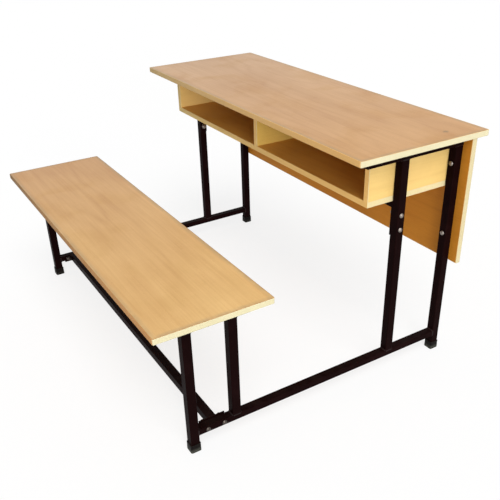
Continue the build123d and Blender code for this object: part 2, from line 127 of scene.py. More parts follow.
class Shading:
    """Shader tree with short names for the nodes that come up all the time."""

    def __init__(self, tree):
        self.tree = tree
        tree.nodes.clear()

    def node(self, kind, inputs=None, **settings):
        """New node. A socket is linked to its input, a text stands for the group's knob of
        that name, and any other value is set."""
        made = self.tree.nodes.new("ShaderNode" + kind)
        for name, value in settings.items():
            setattr(made, name, value)
        for name, value in (inputs or {}).items():
            socket = made.inputs[name]
            value = self.knob[value] if isinstance(value, str) else value
            if isinstance(value, bpy.types.NodeSocket):
                self.tree.links.new(value, socket)
            else:
                socket.default_value = (*value, 1) if socket.type == "RGBA" else value
        return made

    def maths(self, operation, first, second=0.0, clamp=False):
        """Result of a sum on one or two numbers."""
        made = self.node("Math", {0: first, 1: second}, operation=operation, use_clamp=clamp)
        return made.outputs[0]

    def plus(self, first, second, clamp=False):
        return self.maths("ADD", first, second, clamp)

    def times(self, first, second):
        return self.maths("MULTIPLY", first, second)

    def vectors(self, operation, first, second=(0, 0, 0)):
        """Result of a sum on vectors: a number if it is a distance or a dot product."""
        made = self.node("VectorMath", {0: first, 1: second}, operation=operation)
        return made.outputs["Value" if operation in ("DISTANCE", "DOT_PRODUCT") else "Vector"]

    def axes(self, vector):
        """X, Y and Z of a vector."""
        return self.node("SeparateXYZ", {0: vector}).outputs

    def mix(self, share, first, second, blend="MIX"):
        """Colour between two colours."""
        inputs = {0: share, 6: first, 7: second}
        return self.node("Mix", inputs, data_type="RGBA", blend_type=blend).outputs[2]

    def remap(self, value, low, high, to_low=0.0, to_high=1.0):
        """Number moved from one range to another, and held inside it."""
        inputs = {0: value, 1: low, 2: high, 3: to_low, 4: to_high}
        return self.node("MapRange", inputs).outputs[0]

    def noise(self, vector, scale, detail=3.0, distortion=0.0):
        """Cloudy numbers around a half. Scale says how many clouds lie in a metre: one
        number, or three for clouds that are stretched along X, Y and Z."""
        if isinstance(scale, tuple):
            vector, scale = self.vectors("MULTIPLY", vector, scale), 1.0
        inputs = {"Vector": vector, "Scale": scale, "Detail": detail, "Distortion": distortion}
        return self.node("TexNoise", inputs).outputs["Fac"]

    def patches(self, vector, scale, detail, low, high, to_low=0.0, to_high=1.0, distortion=0.0):
        """Noise with its middle range, from low to high, spread out."""
        return self.remap(self.noise(vector, scale, detail, distortion), low, high, to_low, to_high)


print("shader helpers are ready")

# %% [markdown]
# Light, sky and floor. The photograph's soft light came mostly from the near end of the
# bench: the ends of the boards are brightest, and inside the dark book shelf the faces that
# look that way are bright too, so some of it came in low. Two distant lamps do the same, a
# high soft one and a low one like a white card. An even grey sky fills the rest. For the
# object the sky's strength is under one, and where the camera, a reflection or a transparent
# piece looks at it, it is one, so the background is white without adding light. The floor is
# treated in the same way, and keeps a soft shadow.

# %% Lamps
sky_level = 0.40


def distant_lamp(name, level, towards, spread):
    """Soft lamp far away. A level of one shows a face that looks at it as its colour is
    written. Gives the level that reaches the floor."""
    lamp = bpy.data.lights.new(name, "SUN")
    lamp.energy = level * math.pi
    lamp.angle = math.radians(spread)
    add_object(name, lamp, Vector(towards).to_track_quat("Z", "Y").to_matrix().to_4x4())
    return level * Vector(towards).normalized().z


floor_light = sky_level
floor_light += distant_lamp("high_softbox", 0.68, (0.53, -0.18, 0.75), 40)
floor_light += distant_lamp("low_card", 0.64, (0.94, -0.31, 0.10), 25)
print("light on the floor", round(floor_light, 2))

# %% Sky that looks white


def seen_directly(shading):
    """One where the camera, a reflection or a transparent piece looks, and zero elsewhere."""
    path = shading.node("LightPath").outputs
    either = shading.maths("MAXIMUM", path["Is Camera Ray"], path["Is Glossy Ray"])
    return shading.maths("MAXIMUM", either, path["Is Transmission Ray"])


world = bpy.data.worlds.new("even_sky")
world.use_nodes = True
scene.world = world
sky = Shading(world.node_tree)
strength = sky.plus(sky.times(seen_directly(sky), 1 - sky_level), sky_level)
glow = sky.node("Background", {"Color": white, "Strength": strength})
sky.node("OutputWorld", {"Surface": glow.outputs[0]})
print("sky level on the object", sky_level)

# %% Floor
floor_reach = 60
floor_bounce = 0.80
floor_shade = 0.22
floor_glow = 1.0 - floor_shade * floor_light

floor_finish = bpy.data.materials.new("pale_floor")
floor_finish.use_nodes = True
ground = Shading(floor_finish.node_tree)
bounce = ground.node("BsdfDiffuse", {"Color": [floor_bounce] * 3})
shade = ground.node("BsdfDiffuse", {"Color": [floor_shade] * 3})
lift = ground.node("Emission", {"Strength": floor_glow})
seen = ground.node("AddShader", {0: shade.outputs[0], 1: lift.outputs[0]})
choice = {0: seen_directly(ground), 1: bounce.outputs[0], 2: seen.outputs[0]}
both = ground.node("MixShader", choice)
ground.node("OutputMaterial", {"Surface": both.outputs[0]})

floor_mesh = bpy.data.meshes.new("floor")
corners = [(x * floor_reach, y * floor_reach, 0) for x, y in ((-1, -1), (1, -1), (1, 1), (-1, 1))]
floor_mesh.from_pydata(corners, [], [(0, 1, 2, 3)])
floor_mesh.materials.append(floor_finish)
floor = add_object("floor", floor_mesh)
print("the floor glows by", round(floor_glow, 2), "under its shadow")

# %% [markdown]
# Shader node groups are small machines with named knobs. Each of the next cells builds one
# effect that several finishes share, so that every material can turn its own knobs. A
# group only puts out colours and masks; the Principled shader stays in the material. Every
# group has a knob for the place on the bench, called Vector. Where a group's own nodes are
# made, a text such as "Vector" stands for the knob of that name.

# %% Helper for groups


class Effect(Shading):
    """Shader group. Vectors and colours name knobs, and numbers give theirs a first value."""

    def __init__(self, name, vectors=(), colors=(), **numbers):
        super().__init__(bpy.data.node_groups.new(name, "ShaderNodeTree"))
        for label in ("Vector", *vectors):
            self.socket(label, "INPUT", "Vector")
        for label in colors:
            self.socket(label, "INPUT", "Color")
        for label, value in numbers.items():
            self.socket(label, "INPUT", "Float").default_value = value
        self.knob = self.tree.nodes.new("NodeGroupInput").outputs

    def socket(self, label, side, kind):
        kind = "NodeSocket" + kind
        return self.tree.interface.new_socket(name=label, in_out=side, socket_type=kind)

    def give(self, **results):
        """Puts out the results, each under its own name."""
        for label, result in results.items():
            self.socket(label, "OUTPUT", "Color" if result.type == "RGBA" else "Float")
        out = self.tree.nodes.new("NodeGroupOutput").inputs
        for label, result in results.items():
            self.tree.links.new(result, out[label])
        print(self.tree.name, "has", len(self.tree.nodes), "nodes and puts out", list(results))


print("groups can be made")

# %% [markdown]
# The boards are chipboard with a paper print of pale wood pressed on both faces. A print
# like this has four things to see: large soft clouds of colour, the slow arches of a
# flat-sawn plank, long fine streaks, and thousands of short dark flecks a few millimetres
# long, which come in flocks. Each is a noise stretched along the grain, X here. The arches
# are the contour lines of a slow noise, found by folding its value back and forth.

# %% Group: printed wood figure
arch_lines = 15
pore_streaks = 0.3

wood = Effect("wood_print", colors=("Pale", "Dark"), Clouds=0.5, Arches=0.3, Streaks=0.4,
              Flecks=0.3)
slow = wood.noise("Vector", (0.9, 6.5, 6.5), 2.0, 0.5)
arches = wood.maths("POWER", wood.maths("PINGPONG", wood.times(slow, arch_lines), 1.0), 2.0)
clouds = wood.patches("Vector", (3.2, 6.0, 6.0), 3.0, 0.35, 0.68)
streaks = wood.patches("Vector", (5, 190, 190), 4.0, 0.35, 0.70)
flocks = wood.patches("Vector", (7, 60, 60), 2.0, 0.40, 0.62)
flecks = wood.patches("Vector", (150, 1700, 1700), 3.0, 0.58, 0.74, distortion=0.3)
flecks = wood.times(flecks, flocks)
share = wood.plus(wood.times(clouds, "Clouds"), wood.times(arches, "Arches"))
share = wood.plus(share, wood.times(streaks, "Streaks"), clamp=True)
body = wood.mix(share, "Pale", "Dark")
body = wood.mix(wood.times(flecks, "Flecks"), body, "Dark", "MULTIPLY")
wood.give(Color=body, Pores=wood.plus(flecks, wood.times(streaks, pore_streaks)))

# %% [markdown]
# Along the bench the light falls off, and that is painted into the boards. Towards the
# left-hand end they are painted darker and greyer, as painted shade, and towards the
# right-hand end paler and warmer, as painted light. Such a painted fall-off is one tint
# mixed into another along X, from one end of the bench to the other.

# %% Group: painted fall-off of light along the bench
painted_falloff = Effect("light_falloff_tints", colors=("Color", "Left", "Right"))
along = painted_falloff.remap(painted_falloff.axes("Vector")["X"], cad_box[0].x, cad_box[1].x)
tint = painted_falloff.mix(along, "Left", "Right")
painted_falloff.give(Color=painted_falloff.mix(1.0, "Color", tint, "MULTIPLY"))

# %% [markdown]
# The two large boards are darker, in patches, along their rims. The mask needs to know how
# far a point is from the rim: half the board's size less the distance from its middle, along
# X and along Y, and then the smaller of the two.

# %% Group: darkening along the rim
rim = Effect("rim_darkening", vectors=("Middle", "Half"), Reach=0.01)
offset = rim.vectors("ABSOLUTE", rim.vectors("SUBTRACT", "Vector", "Middle"))
inside = rim.axes(rim.vectors("SUBTRACT", "Half", offset))
fading = rim.remap(rim.maths("MINIMUM", inside["X"], inside["Y"]), 0.0, "Reach", 1.0, 0.0)
worn = rim.patches("Vector", 28.0, 4.0, 0.30, 0.62, to_low=0.35)
rim.give(Mask=rim.times(fading, worn))

# %% [markdown]
# School furniture is handled all day. Hands and sleeves polish some places and leave a
# dull film on others, which shows less as colour than as a patchy gloss. One cloudy noise
# with a second, finer one breaking up its borders gives that patchiness as a mask. Size is
# the size of the patches in metres, and Cover says how much of the piece they take up.

# %% Group: hand marks
finer = 9.0
finer_share = 0.25
bare_level = 0.95
level_per_cover = 0.55

hands = Effect("hand_marks", Size=0.12, Cover=0.5)
per_metre = hands.maths("DIVIDE", 1.0, "Size")
broad = hands.noise("Vector", per_metre, 2.0, 0.4)
fine = hands.noise("Vector", hands.times(per_metre, finer))
level = hands.maths("SUBTRACT", bare_level, hands.times("Cover", level_per_cover))
above = hands.maths("SUBTRACT", hands.plus(broad, hands.times(fine, finer_share)), level)
hands.give(Mask=hands.remap(above, -0.10, 0.16))

# %% [markdown]
# Edges wear first. Blender's Bevel node gives the normal that a surface would have if its
# edges were rounded: where that differs from the true normal, an edge is near. Breaking
# the result up with noise keeps the wear from looking like a drawn outline.

# %% Group: rubbed edges
edges = Effect("rubbed_edges", Reach=0.002, Patches=60.0)
eased = edges.node("Bevel", {"Radius": "Reach"}, samples=4).outputs[0]
agree = edges.vectors("DOT_PRODUCT", eased, edges.node("NewGeometry").outputs["Normal"])
worn = edges.patches("Vector", "Patches", 4.0, 0.42, 0.62)
edges.give(Mask=edges.times(edges.remap(agree, 0.995, 0.80), worn))

# %% [markdown]
# Dust settles on what faces up. The mask is the upward part of the normal, times a noise,
# so a tube's top is dusty in patches and its sides not.

# %% Group: settled dust
dust = Effect("settled_dust", Amount=0.3, Patches=35.0)
upward = dust.remap(dust.axes(dust.node("NewGeometry").outputs["Normal"])["Z"], 0.35, 1.0)
lying = dust.patches("Vector", "Patches", 5.0, 0.35, 0.70)
dust.give(Mask=dust.times(dust.times(upward, lying), "Amount"))

# %% [markdown]
# Powder coat flows into tiny low hills as it cures, like orange skin, and moulded plastic
# copies the spark-eroded grain of its mould. Both are a fine relief that breaks up the
# reflections. Only the size of the hills differs, so they share one group, which puts out
# a height for a Bump node.

# %% Group: fine relief
relief = Effect("fine_relief", Size=0.002, Grit=0.3)
per_metre = relief.maths("DIVIDE", 1.0, "Size")
hills = relief.noise("Vector", per_metre, 1.0)
grit = relief.noise("Vector", relief.times(per_metre, 4.0), 2.0)
relief.give(Height=relief.plus(hills, relief.times(grit, "Grit")))

# %% [markdown]
# Every material starts in the same way: a Principled shader, and the object's own
# coordinates, which are metres on the bench. The finish therefore stays on the piece, at
# its real scale, whatever the view. An effect gets these coordinates unless it is given
# others.

# %% Helper for materials


class Finish(Shading):
    """Material with a Principled shader."""

    def __init__(self, name, metallic=0.0, specular=0.5):
        self.material = bpy.data.materials.new(name)
        self.material.use_nodes = True
        super().__init__(self.material.node_tree)
        inputs = {"Metallic": metallic, "Specular IOR Level": specular}
        self.shader = self.node("BsdfPrincipled", inputs)
        self.node("OutputMaterial", {"Surface": self.shader.outputs[0]})
        coordinates = self.node("TexCoord").outputs
        self.place, self.normal = coordinates["Object"], coordinates["Normal"]

    def effect(self, group, **knobs):
        """Result of a group, or a list of its results if it has more than one."""
        outputs = self.node("Group", {"Vector": self.place, **knobs}, node_tree=group.tree).outputs
        return outputs if len(outputs) > 1 else outputs[0]

    def wear(self, color, worn, share, group, **knobs):
        """Colour with a worn one over it, where the mask of a group says so."""
        return self.mix(self.times(self.effect(group, **knobs), share), color, worn)

    def fill(self, color, roughness, height, depth):
        """Links a colour, a roughness and a relief as deep as depth to the shader."""
        bump = self.node("Bump", {"Height": height, "Distance": depth})
        results = {"Base Color": color, "Roughness": roughness, "Normal": bump.outputs[0]}
        for name, result in results.items():
            self.tree.links.new(result, self.shader.inputs[name])
        return self.material


print("materials can be made")

# %% [markdown]
# The laminate of the boards. Each has its own pale colour, from which its dark one follows:
# the desk board is a greyer tan, the seat board a warmer one, and the shelf's ends yellow.
# The shelf's bottom board is a deeper orange, which partly paints the warm shade inside the
# shelf. The two large boards also carry the painted fall-off of light along the bench, and
# are darker along their rims. The desk board has one small dark stain. The front panel's
# face towards the sitters is painted browner, as painted shade under the desk. A board that
# stands across the bench has its grain along Y: its coordinates are turned by a quarter
# before they reach the print. The pores of the print are pressed into the satin skin a few
# hundredths of a millimetre deep.

# %% Laminates
dark_share = 0.77
film_share = 0.10
film_dark = 0.6
pore_depth = -0.04 * mm
# How far in, how strongly and how dark the rims of the two large boards are made.
rim_dark_reach = 14 * mm
rim_dark_share = 0.55
rim_dark_color = (0.33, 0.26, 0.16)
stain_core, stain_rim = 4 * mm, 11 * mm
stain_share = 0.60
stain_color = (0.20, 0.15, 0.07)


def board_laminate(name, pale, left=white, right=white, turn=0.0, shift=0.0, streaks=0.30,
                   specular=0.25, rim_of=None, stain=None, inside=white):
    """Satin laminate. Left and right are the painted fall-off of light, as tints at the two ends
    of the bench. Inside is painted shade, as a tint of the face that looks at the sitters.
    rim_of names the board that is darker along its rim, and stain is the place of a small dark
    spot."""
    skin = Finish(name, specular=specular)
    turned = {"Vector": skin.place, "Location": (shift, shift, 0), "Rotation": (0, 0, turn)}
    dark = [c * dark_share ** (1 + n / 2) for n, c in enumerate(pale)]
    figure = skin.effect(wood, Vector=skin.node("Mapping", turned).outputs[0], Pale=pale,
                         Dark=dark, Clouds=0.40, Arches=0.22, Streaks=streaks, Flecks=0.5)
    # Painted fall-off of light: darker and greyer towards the left-hand end, paler and warmer
    # towards the right.
    color = skin.effect(painted_falloff, Color=figure["Color"], Left=left, Right=right)
    # Painted shade: the face that looks at the sitters is tinted browner, for the shade under the
    # desk.
    if inside != white:
        shaded_side = skin.remap(skin.axes(skin.normal)["Y"], -0.3, -0.7)
        color = skin.mix(shaded_side, color, inside, "MULTIPLY")
    marks = skin.effect(hands, Size=0.14, Cover=0.45)
    color = skin.mix(skin.times(marks, film_share), color, [c * film_dark for c in dark])
    if rim_of:
        # Darker along the board's rim, in patches.
        low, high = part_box(rim_of)
        color = skin.wear(color, rim_dark_color, rim_dark_share, rim, Middle=(low + high) / 2,
                          Half=(high - low) / 2, Reach=rim_dark_reach)
    if stain:
        ragged = skin.patches(skin.place, 180.0, 3.0, 0.3, 0.7, to_low=0.7, to_high=1.4)
        away = skin.times(skin.vectors("DISTANCE", skin.place, stain), ragged)
        spot = skin.remap(away, stain_core, stain_rim, stain_share, 0.0)
        color = skin.mix(spot, color, stain_color)
    return skin.fill(color, skin.remap(marks, 0, 1, 0.42, 0.54), figure["Pores"], pore_depth)


# The tints after the desk's and the seat's pale colours are the painted fall-off of light at the
# left-hand and right-hand ends.
desk_print = board_laminate("desk_print", (0.67, 0.397, 0.226), (0.87, 0.94, 0.94),
                            (1.00, 0.96, 0.72), rim_of="desk_board", stain=(0.556, 0.393, 0.698))
seat_print = board_laminate("seat_print", (0.85, 0.547, 0.222), (0.68, 0.60, 0.66), shift=3.0,
                            rim_of="seat_board")
end_print = board_laminate("end_print", (0.83, 0.575, 0.20), turn=quarter, streaks=0.15)
divider_print = board_laminate("divider_print", (0.78, 0.545, 0.135), turn=quarter, shift=5.0,
                               streaks=0.15)
# The shelf's bottom board is a deeper orange than the other boards, which partly paints the warm
# shade inside the shelf.
shelf_bottom_shaded_print = board_laminate("shelf_bottom_shaded_print", (0.74, 0.38, 0.07), shift=9.0)
# The front panel's inside tint is painted shade on its face towards the sitters.
front_shaded_print = board_laminate("front_shaded_print", (0.68, 0.37, 0.125), shift=7.0, specular=0.1,
                             inside=(0.90, 0.66, 0.20))
print("laminates:", [m.name for m in bpy.data.materials if m.name.endswith("print")])

# %% [markdown]
# The edges of the boards are covered with a strip of plastic, glued on and scraped flush.
# Across the ends of the boards it is cream, and along them a honey tan that is hard to tell
# from the faces, so the material asks which way the edge looks: the object's own normal
# says so. The tan carries the painted fall-off of light along the bench. The band has only
# a hint of figure, runs along the edge, is duller than the faces, and is darker along its
# eased corners.

# %% Edge bands
band_dark = (0.84, 0.78, 0.68)
# Darker colour along the band's eased corners.
band_corner_dark = (0.34, 0.22, 0.11)
band_stretch = (2.0, 2.0, 0.6)


def edge_band(name, cream, tan, left):
    """Band material. Cream is its colour across the board's ends and tan its colour along the
    board.
    Left is the painted fall-off of light, as a darker tint of the tan at the left-hand end of the
    bench."""
    band = Finish(name, specular=0.06)
    sideways = band.maths("ABSOLUTE", band.axes(band.normal)["X"])
    # Painted fall-off of light: the tan is darker towards the left-hand end.
    along = band.effect(painted_falloff, Color=tan, Left=left, Right=white)
    pale = band.mix(band.remap(sideways, 0.35, 0.75), along, cream)
    dark = band.mix(1.0, pale, band_dark, "MULTIPLY")
    figure = band.effect(wood, Vector=band.vectors("MULTIPLY", band.place, band_stretch),
                         Pale=pale, Dark=dark, Clouds=0.35, Arches=0.0, Streaks=0.30, Flecks=0.10)
    marks = band.effect(hands, Size=0.05, Cover=0.4)
    color = band.wear(figure["Color"], band_corner_dark, 0.45, edges, Reach=1.0 * mm, Patches=40.0)
    return band.fill(color, band.remap(marks, 0, 1, 0.56, 0.70), figure["Pores"], pore_depth / 2)


# The last colour of each band is its painted shade at the left-hand end of the bench.
bands = {
    "desk": edge_band("desk_band", (0.66, 0.61, 0.41), (0.79, 0.49, 0.19), (0.63, 0.76, 1.00)),
    "seat": edge_band("seat_band", (0.66, 0.61, 0.40), (0.56, 0.285, 0.105), (0.42, 0.50, 0.62)),
    "shelf": edge_band("shelf_band", (0.73, 0.62, 0.36), (0.95, 0.60, 0.21), (0.66, 0.80, 1.00)),
    "front": edge_band("panel_band", (0.61, 0.53, 0.32), (0.80, 0.50, 0.19), (0.70, 0.80, 1.00)),
}
print("edge bands:", [band.name for band in bands.values()])

# %% [markdown]
# The steel is powder coated in a brown so dark that it reads as black. What gives it away
# as paint is its orange-skin relief, a little dust on the upper faces, dull patches where
# hands go, and edges rubbed through to a browner undercoat. The welds were coated with
# the rest, but they lie over scale: their hills are smaller and steeper, and they shine
# more.

# %% Frame paint
paint_colors = (0.0065, 0.0018, 0.0018), (0.0100, 0.0030, 0.0030)
undercoat = (0.050, 0.018, 0.014)
dust_color = (0.16, 0.14, 0.12)


def powder_coat(name, hill_size, specular):
    coat = Finish(name, specular=specular)
    marks = coat.effect(hands, Size=0.09, Cover=0.45)
    color = coat.mix(marks, *paint_colors)
    color = coat.wear(color, undercoat, 0.5, edges, Reach=1.6 * mm, Patches=45.0)
    color = coat.mix(coat.effect(dust, Amount=0.03, Patches=30.0), color, dust_color)
    hills = coat.effect(relief, Size=hill_size, Grit=0.25)
    return coat.fill(color, coat.remap(marks, 0, 1, 0.40, 0.54), hills, 0.10 * mm)


tube_coat = powder_coat("tube_coat", 1.8 * mm, 0.012)
weld_coat = powder_coat("weld_coat", 0.7 * mm, 0.12)
print("paints:", tube_coat.name, weld_coat.name)

# %% [markdown]
# The feet and the tube plugs are moulded in a plastic almost as dark as the frame. It is
# matt, with a fine spark-eroded grain. The feet turn a paler grey at their lowest part, and
# those at the right-hand end turn palest. So this mask looks at the height and at the place
# along X.

# %% Cap plastic
plastic_colors = (0.005, 0.0035, 0.003), (0.009, 0.007, 0.006)
foot_low_grey = (0.066, 0.068, 0.055)
scuffed_color = (0.075, 0.075, 0.065)

cap = Finish("moulded_grey", specular=0.04)
marks = cap.effect(hands, Size=0.02, Cover=0.5)
point = cap.axes(cap.place)
# Paler grey towards the bottom of each foot, most at the right-hand end.
low_paling = cap.patches(cap.place, 260.0, 4.0, 0.30, 0.60, to_low=0.35)
low_paling = cap.times(cap.remap(point["Z"], 6 * mm, 15 * mm, 1.0, 0.0), low_paling)
low_paling = cap.times(cap.remap(point["X"], -0.5, 0.5, 0.2, 0.9), low_paling)
color = cap.mix(low_paling, cap.mix(marks, *plastic_colors), foot_low_grey)
color = cap.wear(color, scuffed_color, 0.4, edges, Reach=1.8 * mm, Patches=180.0)
color = cap.mix(cap.effect(dust, Amount=0.12, Patches=70.0), color, dust_color)
hills = cap.effect(relief, Size=0.5 * mm, Grit=0.6)
moulded_grey = cap.fill(color, cap.remap(marks, 0, 1, 0.55, 0.68), hills, 0.08 * mm)
print("cap plastic is ready")

# %% [markdown]
# Bolts, nuts, washers and screws are steel with a bright zinc plate. It is a metal, so its
# colour is in its reflections. The plate has gone dull and a little yellow in use, and
# differs in roughness from place to place, which keeps it from looking like chrome. The
# bolts lowest down, near the floor, are darker than the others.

# %% Zinc plate
zinc_colors = (0.27, 0.235, 0.21), (0.20, 0.175, 0.15)
zinc_rubbed = (0.38, 0.34, 0.31)
zinc_low_dark = (0.045, 0.035, 0.03)

zinc = Finish("zinc_plate", metallic=1.0)
marks = zinc.effect(hands, Size=0.006, Cover=0.5)
color = zinc.mix(marks, *zinc_colors)
color = zinc.wear(color, zinc_rubbed, 0.6, edges, Reach=0.5 * mm, Patches=400.0)
# Darker towards the floor, below 0.3 m.
color = zinc.mix(zinc.remap(zinc.axes(zinc.place)["Z"], 0.1, 0.3, 0.85, 0.0), color, zinc_low_dark)
hills = zinc.effect(relief, Size=0.35 * mm, Grit=0.4)
zinc_plate = zinc.fill(color, zinc.remap(marks, 0, 1, 0.38, 0.52), hills, 0.02 * mm)
print("zinc plate is ready")

# %% [markdown]
# The dowels between the shelf and the desk board are plain beech, hidden once the bench
# is together. They get the same wood figure, turned upright and with no film over it.

# %% Bare wood of the dowels
beech = Finish("bare_beech", specular=0.3)
upright = beech.node("Mapping", {"Vector": beech.place, "Rotation": (0, quarter, 0)}).outputs[0]
figure = beech.effect(wood, Vector=upright, Pale=(0.66, 0.46, 0.27), Dark=(0.46, 0.29, 0.15),
                      Clouds=0.3, Arches=0.2, Streaks=0.6, Flecks=0.5)
roughness = beech.remap(figure["Pores"], 0, 1, 0.62, 0.78)
bare_beech = beech.fill(figure["Color"], roughness, figure["Pores"], -0.1 * mm)
print("dowel wood is ready")

# %% [markdown]
# The boards, bands and tubes keep their solid-model shapes, which are right as they are,
# and only change their material. A rule by name gives each its finish.

# %% Finishes for the solid model's pieces
named_finishes = {"desk_board": desk_print, "seat_board": seat_print, "front_panel": front_shaded_print,
                  "shelf_end_board_left": end_print, "shelf_end_board_right": end_print,
                  "shelf_divider": divider_print, "shelf_bottom_board": shelf_bottom_shaded_print,
                  "shelf_dowels": bare_beech}


def finish_of(name):
    """Material for a node of the solid model."""
    if "band" in name:
        return bands[name.split("_")[0]]
    if name.startswith("foot_cap") or name.endswith("plugs"):
        return moulded_grey
    if name.endswith(("bolts", "nuts", "washers", "screws")):
        return zinc_plate
    return named_finishes.get(name, tube_coat)


for name, piece in nodes.items():
    if not piece.material_slots:
        piece.data.materials.append(None)
    for place in piece.material_slots:
        place.material = finish_of(name)
print("finishes given to", len(nodes), "nodes")

# %% [markdown]
# From here on come the pieces that the solid model keeps plain: feet, plugs, fasteners and
# welds. A turned head, a moulded foot, a screw thread and a weld bead have one thing in
# common: each is a row of rings with the same number of points, joined to their neighbours
# by four-sided faces. So one helper makes every skin, and each piece below only says where
# its rings are. Smooth shading with sharp edges above a set angle then keeps curves round
# and corners crisp.

# %% Helpers for skins
sharp_angle = math.radians(38)


def skin(bm, rings, closed=False):
    """Faces between neighbouring rings. A closed skin joins its last ring to its first, and
    an open one gets a face over each end."""
    rows = [[bm.verts.new(point) for point in ring] for ring in rings]
    following = rows[1:] + rows[:1] if closed else rows[1:]
    for row, after in zip(rows, following):
        for n in range(len(row)):
            bm.faces.new((row[n - 1], row[n], after[n], after[n - 1]))
    if not closed:
        bm.faces.new(rows[0])
        bm.faces.new(rows[-1])


def to_mesh(name, bm, finish):
    """Smooth mesh with outward faces, from a skin."""
    bmesh.ops.recalc_face_normals(bm, faces=bm.faces)
    mesh = bpy.data.meshes.new(name)
    bm.to_mesh(mesh)
    bm.free()
    mesh.materials.append(finish)
    mesh.shade_smooth()
    mesh.set_sharp_from_angle(angle=sharp_angle)
    return mesh


def dress(name, bm, finish, slot, *replaced):
    """New piece that rides with the bench and stands for nodes of the solid model."""
    piece = add_object(name, to_mesh(name, bm, finish))
    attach(piece, "root")
    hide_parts(*replaced)
    print(name, "has", len(piece.data.polygons), "faces")


def around(quarters):
    """Cosine and sine of an angle given in quarter turns."""
    return math.cos(quarters * quarter), math.sin(quarters * quarter)


def square_ring(place, height, half, radius, steps=6):
    """Ring of a square with rounded corners. Half is half its width."""
    points = []
    for corner, (across, along) in enumerate(((1, 1), (-1, 1), (-1, -1), (1, -1))):
        middle = Vector((across, along, 0)) * (half - radius)
        for n in range(steps + 1):
            spoke = Vector((*around(corner + n / steps), 0)) * radius
            points.append(place @ (middle + spoke + Vector((0, 0, height))))
    return points


def round_ring(place, height, radius, sides):
    """Ring about a place's Z. A height or a radius that is a rule gives its value for a
    share of a turn."""
    points = []
    for n in range(sides):
        turn = n / sides
        level = height(turn) if callable(height) else height
        reach = radius(turn) if callable(radius) else radius
        cosine, sine = around(4 * turn)
        points.append(place @ Vector((reach * cosine, reach * sine, level)))
    return points


print("skins can be made")

# %% [markdown]
# Feet. A foot is a thick plastic cup pushed over the leg's end. The mould gives it drafted
# walls, a collar round its mouth, a rounded sole edge, and a sole cut by square grooves so
# that it grips and does not rock on grit. All of that is one profile, read from the middle
# of the sole outwards, up the wall, over the collar and down the inside to the pocket's
# floor. Tables like collar_steps hold millimetres: how far a ring is set back from the
# full half width, and how far it lies below the top.

# %% Foot caps
foot_edge = 1.5 * mm
foot_corner = 4.3 * mm
pocket_clearance = 0.1 * mm
pocket_chamfer = 0.5 * mm
pocket_corner = 2.1 * mm
pocket_floor = 3.0 * mm
groove_middles = [n * mm for n in (3.2, 6.4, 9.6)]
groove_half = 0.8 * mm
groove_depth = 0.8 * mm
groove_slope = 0.4 * mm
collar_steps = [(0.4, 2.5), (0.1, 2.0), (0.0, 1.6), (0.0, 0.6), (0.2, 0.15), (0.6, 0.0)]
rounding_shares = [n / 4 for n in range(5)]


def sole_steps():
    """(half width, height) pairs across the grooved sole."""
    steps = [(groove_middles[0] - 1.5 * groove_half, 0)]
    for middle in groove_middles:
        steps += [(middle - groove_half, 0), (middle - groove_half + groove_slope, groove_depth),
                  (middle + groove_half - groove_slope, groove_depth), (middle + groove_half, 0)]
    return steps


def moulded_foot(name, node, leg):
    low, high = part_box(node)
    leg_low, leg_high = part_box(leg)
    half = (high.x - low.x) / 2
    top = high.z - low.z
    steps = sole_steps()
    for share in rounding_shares:
        cosine, sine = around(share)
        steps.append((half - foot_edge * (1 - sine), foot_edge * (1 - cosine)))
    steps += [(half - back * mm, top - below * mm) for back, below in collar_steps]
    place = Matrix.Translation(((low.x + high.x) / 2, (low.y + high.y) / 2, low.z))
    rings = [square_ring(place, height, reach, max(foot_corner - (half - reach), 0.3 * reach))
             for reach, height in steps]
    pocket = (leg_high.x - leg_low.x) / 2 + pocket_clearance
    hollow = ((pocket + pocket_chamfer, top), (pocket, top - pocket_chamfer),
              (pocket, pocket_floor))
    rings += [square_ring(place, height, reach, pocket_corner) for reach, height in hollow]
    bm = bmesh.new()
    skin(bm, rings)
    dress(name, bm, moulded_grey, "cap_plastic", node)


for side in ("left", "right"):
    moulded_foot("moulded_foot_bench_" + side, "foot_cap_bench_" + side, "bench_rear_leg_" + side)
    moulded_foot("moulded_foot_desk_" + side, "foot_cap_desk_" + side, "desk_outer_leg_" + side)

# %% [markdown]
# The solid model keeps every set of like small pieces in one node, for instance the six
# screws under the desk board. To put a better piece in place of each one, its place has to
# be read back. A piece's points hang together by edges and touch no other piece's, so
# walking along the edges from any point finds one whole piece. The imported mesh splits its
# points along sharp edges, so a copy is welded first.

# %% Places of the separate pieces in a node
weld_distance = 0.01 * mm


def loose_boxes(node):
    """Lowest and highest corner of each separate piece in a node, in a steady order."""
    bm = bmesh.new()
    bm.from_mesh(nodes[node].data)
    bmesh.ops.remove_doubles(bm, verts=bm.verts, dist=weld_distance)
    boxes, known = [], set()
    for first in bm.verts:
        if first in known:
            continue
        known.add(first)
        queue, points = [first], []
        while queue:
            vert = queue.pop()
            points.append(vert.co.copy())
            for edge in vert.link_edges:
                other = edge.other_vert(vert)
                if other not in known:
                    known.add(other)
                    queue.append(other)
        boxes.append((Vector(map(min, zip(*points))), Vector(map(max, zip(*points)))))
    bm.free()
    return sorted(boxes, key=lambda box: [round(c, 4) for c in box[0]])


def end_points(box, outwards):
    """Outer and inner end of the middle line of a piece that points outwards."""
    middle = (box[0] + box[1]) / 2
    half = abs((box[1] - box[0]).dot(outwards)) / 2
    return middle + outwards * half, middle - outwards * half


def place_at(point, outwards, turn=0.0):
    """Place whose Z points outwards, turned about it."""
    facing = outwards.to_track_quat("Z", "Y").to_matrix().to_4x4()
    return Matrix.Translation(point) @ facing @ Matrix.Rotation(turn, 4, "Z")


print("bolts in the stretcher:", len(loose_boxes("stretcher_bolts")))

